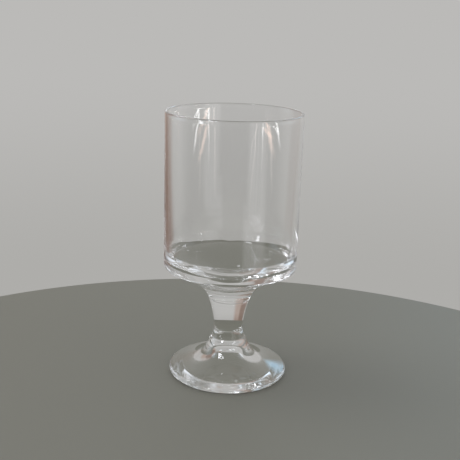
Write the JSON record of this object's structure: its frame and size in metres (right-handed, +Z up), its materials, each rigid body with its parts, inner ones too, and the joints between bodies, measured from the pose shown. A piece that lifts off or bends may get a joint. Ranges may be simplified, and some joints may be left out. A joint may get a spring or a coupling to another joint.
{
  "type": "stemmed drinking glass",
  "caption": "Clear stemmed drinking glass with a straight cylindrical bowl on a coned base, a short waisted stem and a conical foot with a hollow underside.",
  "frame": {"origin": "on the axis of the glass, at the level of the ring that the foot rests on", "axes": "+Z up along the axis of the glass, from the foot to the lip; the glass is round, so +X and +Y are any two square directions"},
  "size_m": [0.066, 0.066, 0.132],
  "materials": {
    "clear_glass": "fire-polished"
  },
  "bodies": {
    "root": {"bowl": "clear_glass", "stem": "clear_glass", "foot": "clear_glass"}
  },
  "joints": []
}
